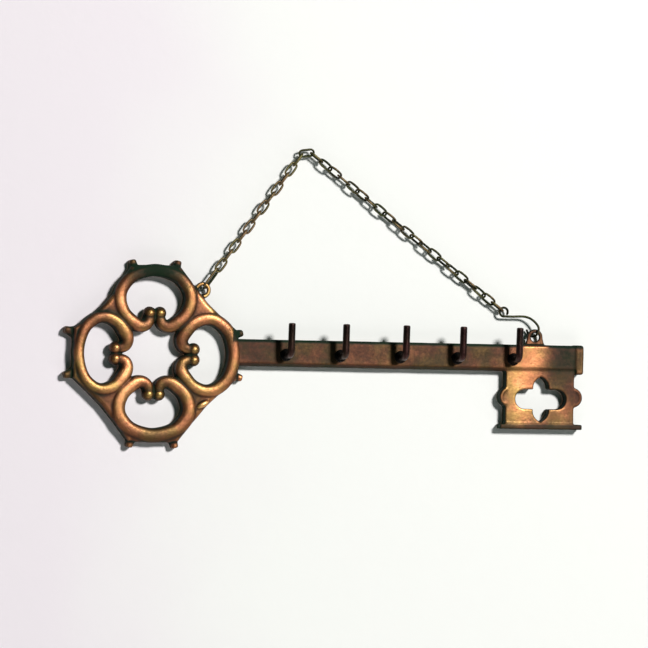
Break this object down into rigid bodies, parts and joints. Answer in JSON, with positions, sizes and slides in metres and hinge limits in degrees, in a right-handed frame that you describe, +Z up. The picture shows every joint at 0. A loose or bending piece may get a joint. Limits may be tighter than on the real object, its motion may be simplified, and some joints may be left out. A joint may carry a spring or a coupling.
{
  "type": "key rack",
  "caption": "Wall key rack cast as an ornamental skeleton key with a scrolled bow, peg hooks on the shank and a pierced bit, hung on a chain.",
  "frame": {"origin": "where the nail carries the apex link of the chain, under the top side's inner surface", "axes": "+X along the key towards its bit, +Y square to the wall and towards it, +Z up"},
  "size_m": [0.3128, 0.0244, 0.177],
  "materials": {
    "antique_brass": "aged cast brass, worn copper-gold on the high places, dark green-brown patina in the recesses",
    "dark_hooks": "blackened bronze pegs, a little worn at the tips",
    "chain": "dull olive-bronze wire"
  },
  "bodies": {
    "nail_link": {"nail_link": "chain"},
    "right_link_01": {"right_link_01": "chain"},
    "left_link_01": {"left_link_01": "chain"},
    "rack": {"key_casting": "antique_brass", "hook_1": "dark_hooks", "hook_2": "dark_hooks", "hook_3": "dark_hooks", "hook_4": "dark_hooks", "hook_5": "dark_hooks"},
    "s_hook": {"s_hook": "chain"},
    "left_end_link": {"left_end_link": "chain"},
    "left_link_02": {"left_link_02": "chain"},
    "left_link_03": {"left_link_03": "chain"},
    "left_link_04": {"left_link_04": "chain"},
    "left_link_05": {"left_link_05": "chain"},
    "left_link_06": {"left_link_06": "chain"},
    "left_link_07": {"left_link_07": "chain"},
    "left_link_08": {"left_link_08": "chain"},
    "left_link_09": {"left_link_09": "chain"},
    "left_link_10": {"left_link_10": "chain"},
    "left_link_11": {"left_link_11": "chain"},
    "left_link_12": {"left_link_12": "chain"},
    "right_link_02": {"right_link_02": "chain"},
    "right_link_03": {"right_link_03": "chain"},
    "right_link_04": {"right_link_04": "chain"},
    "right_link_05": {"right_link_05": "chain"},
    "right_link_06": {"right_link_06": "chain"},
    "right_link_07": {"right_link_07": "chain"},
    "right_link_08": {"right_link_08": "chain"},
    "right_link_09": {"right_link_09": "chain"},
    "right_link_10": {"right_link_10": "chain"},
    "right_link_11": {"right_link_11": "chain"},
    "right_link_12": {"right_link_12": "chain"},
    "right_link_13": {"right_link_13": "chain"},
    "right_link_14": {"right_link_14": "chain"},
    "right_link_15": {"right_link_15": "chain"},
    "right_link_16": {"right_link_16": "chain"},
    "right_link_17": {"right_link_17": "chain"},
    "right_link_18": {"right_link_18": "chain"},
    "right_link_19": {"right_link_19": "chain"},
    "right_link_20": {"right_link_20": "chain"},
    "right_link_21": {"right_link_21": "chain"}
  },
  "joints": [
    {"name": "hang_swing", "type": "hinge", "parent": "nail_link", "child": "right_link_01", "pos_m": [0.00327, 0, -0.00149], "axis": [-0.99, 0, -0.1414], "range_deg": [0, 35]},
    {"name": "left_strand_swing", "type": "hinge", "parent": "nail_link", "child": "left_link_01", "pos_m": [-0.00305, 0, -0.0024], "axis": [-0.99, 0, -0.1414], "range_deg": [0, 35]},
    {"name": "rack_tilt", "type": "hinge", "parent": "right_link_01", "child": "rack", "pos_m": [0.13835, 0, -0.10416], "axis": [-0.9925, 0, 0.1223], "range_deg": [0, 40]},
    {"name": "s_hook_rock", "type": "hinge", "parent": "right_link_01", "child": "s_hook", "pos_m": [0.12064, 0, -0.0907], "axis": [0.7961, 0, -0.6051], "range_deg": [-4, 4]},
    {"name": "left_end_link_roll", "type": "hinge", "parent": "left_link_01", "child": "left_end_link", "pos_m": [-0.05215, 0, -0.07084], "axis": [-0.5829, 0, -0.8125], "range_deg": [-30, 3]},
    {"name": "left_link_02_roll", "type": "hinge", "parent": "left_link_01", "child": "left_link_02", "pos_m": [-0.00919, 0, -0.01095], "axis": [-0.5829, 0, -0.8125], "range_deg": [-20, 20]},
    {"name": "left_link_03_roll", "type": "hinge", "parent": "left_link_01", "child": "left_link_03", "pos_m": [-0.01328, 0, -0.01666], "axis": [-0.5829, 0, -0.8125], "range_deg": [-20, 20]},
    {"name": "left_link_04_roll", "type": "hinge", "parent": "left_link_01", "child": "left_link_04", "pos_m": [-0.01737, 0, -0.02236], "axis": [-0.5829, 0, -0.8125], "range_deg": [-20, 20]},
    {"name": "left_link_05_roll", "type": "hinge", "parent": "left_link_01", "child": "left_link_05", "pos_m": [-0.02146, 0, -0.02806], "axis": [-0.5829, 0, -0.8125], "range_deg": [-20, 20]},
    {"name": "left_link_06_roll", "type": "hinge", "parent": "left_link_01", "child": "left_link_06", "pos_m": [-0.02555, 0, -0.03377], "axis": [-0.5829, 0, -0.8125], "range_deg": [-20, 20]},
    {"name": "left_link_07_roll", "type": "hinge", "parent": "left_link_01", "child": "left_link_07", "pos_m": [-0.02965, 0, -0.03947], "axis": [-0.5829, 0, -0.8125], "range_deg": [-20, 20]},
    {"name": "left_link_08_roll", "type": "hinge", "parent": "left_link_01", "child": "left_link_08", "pos_m": [-0.03374, 0, -0.04518], "axis": [-0.5829, 0, -0.8125], "range_deg": [-20, 20]},
    {"name": "left_link_09_roll", "type": "hinge", "parent": "left_link_01", "child": "left_link_09", "pos_m": [-0.03783, 0, -0.05088], "axis": [-0.5829, 0, -0.8125], "range_deg": [-20, 20]},
    {"name": "left_link_10_roll", "type": "hinge", "parent": "left_link_01", "child": "left_link_10", "pos_m": [-0.04192, 0, -0.05658], "axis": [-0.5829, 0, -0.8125], "range_deg": [-20, 20]},
    {"name": "left_link_11_roll", "type": "hinge", "parent": "left_link_01", "child": "left_link_11", "pos_m": [-0.04601, 0, -0.06229], "axis": [-0.5829, 0, -0.8125], "range_deg": [-20, 20]},
    {"name": "left_link_12_roll", "type": "hinge", "parent": "left_link_01", "child": "left_link_12", "pos_m": [-0.05011, 0, -0.06799], "axis": [-0.5829, 0, -0.8125], "range_deg": [-8, 20]},
    {"name": "right_link_02_roll", "type": "hinge", "parent": "right_link_01", "child": "right_link_02", "pos_m": [0.01166, 0, -0.00787], "axis": [0.7961, 0, -0.6051], "range_deg": [-10, 10]},
    {"name": "right_link_03_roll", "type": "hinge", "parent": "right_link_01", "child": "right_link_03", "pos_m": [0.01724, 0, -0.01211], "axis": [0.7961, 0, -0.6051], "range_deg": [-10, 10]},
    {"name": "right_link_04_roll", "type": "hinge", "parent": "right_link_01", "child": "right_link_04", "pos_m": [0.02283, 0, -0.01636], "axis": [0.7961, 0, -0.6051], "range_deg": [-10, 10]},
    {"name": "right_link_05_roll", "type": "hinge", "parent": "right_link_01", "child": "right_link_05", "pos_m": [0.02842, 0, -0.02061], "axis": [0.7961, 0, -0.6051], "range_deg": [-10, 10]},
    {"name": "right_link_06_roll", "type": "hinge", "parent": "right_link_01", "child": "right_link_06", "pos_m": [0.03401, 0, -0.02486], "axis": [0.7961, 0, -0.6051], "range_deg": [-10, 10]},
    {"name": "right_link_07_roll", "type": "hinge", "parent": "right_link_01", "child": "right_link_07", "pos_m": [0.0396, 0, -0.0291], "axis": [0.7961, 0, -0.6051], "range_deg": [-10, 10]},
    {"name": "right_link_08_roll", "type": "hinge", "parent": "right_link_01", "child": "right_link_08", "pos_m": [0.04519, 0, -0.03335], "axis": [0.7961, 0, -0.6051], "range_deg": [-10, 10]},
    {"name": "right_link_09_roll", "type": "hinge", "parent": "right_link_01", "child": "right_link_09", "pos_m": [0.05078, 0, -0.0376], "axis": [0.7961, 0, -0.6051], "range_deg": [-10, 10]},
    {"name": "right_link_10_roll", "type": "hinge", "parent": "right_link_01", "child": "right_link_10", "pos_m": [0.05637, 0, -0.04185], "axis": [0.7961, 0, -0.6051], "range_deg": [-10, 10]},
    {"name": "right_link_11_roll", "type": "hinge", "parent": "right_link_01", "child": "right_link_11", "pos_m": [0.06196, 0, -0.04609], "axis": [0.7961, 0, -0.6051], "range_deg": [-10, 10]},
    {"name": "right_link_12_roll", "type": "hinge", "parent": "right_link_01", "child": "right_link_12", "pos_m": [0.06754, 0, -0.05034], "axis": [0.7961, 0, -0.6051], "range_deg": [-10, 10]},
    {"name": "right_link_13_roll", "type": "hinge", "parent": "right_link_01", "child": "right_link_13", "pos_m": [0.07313, 0, -0.05459], "axis": [0.7961, 0, -0.6051], "range_deg": [-10, 10]},
    {"name": "right_link_14_roll", "type": "hinge", "parent": "right_link_01", "child": "right_link_14", "pos_m": [0.07872, 0, -0.05884], "axis": [0.7961, 0, -0.6051], "range_deg": [-10, 10]},
    {"name": "right_link_15_roll", "type": "hinge", "parent": "right_link_01", "child": "right_link_15", "pos_m": [0.08431, 0, -0.06309], "axis": [0.7961, 0, -0.6051], "range_deg": [-10, 10]},
    {"name": "right_link_16_roll", "type": "hinge", "parent": "right_link_01", "child": "right_link_16", "pos_m": [0.0899, 0, -0.06733], "axis": [0.7961, 0, -0.6051], "range_deg": [-10, 10]},
    {"name": "right_link_17_roll", "type": "hinge", "parent": "right_link_01", "child": "right_link_17", "pos_m": [0.09549, 0, -0.07158], "axis": [0.7961, 0, -0.6051], "range_deg": [-10, 10]},
    {"name": "right_link_18_roll", "type": "hinge", "parent": "right_link_01", "child": "right_link_18", "pos_m": [0.10108, 0, -0.07583], "axis": [0.7961, 0, -0.6051], "range_deg": [-10, 10]},
    {"name": "right_link_19_roll", "type": "hinge", "parent": "right_link_01", "child": "right_link_19", "pos_m": [0.10667, 0, -0.08008], "axis": [0.7961, 0, -0.6051], "range_deg": [-10, 10]},
    {"name": "right_link_20_roll", "type": "hinge", "parent": "right_link_01", "child": "right_link_20", "pos_m": [0.11226, 0, -0.08433], "axis": [0.7961, 0, -0.6051], "range_deg": [-10, 10]},
    {"name": "right_link_21_roll", "type": "hinge", "parent": "right_link_01", "child": "right_link_21", "pos_m": [0.11785, 0, -0.08857], "axis": [0.7961, 0, -0.6051], "range_deg": [-10, 10]}
  ],
  "couplings": [
    {"joint": "left_strand_swing", "follows": "hang_swing", "ratio": 1}
  ]
}
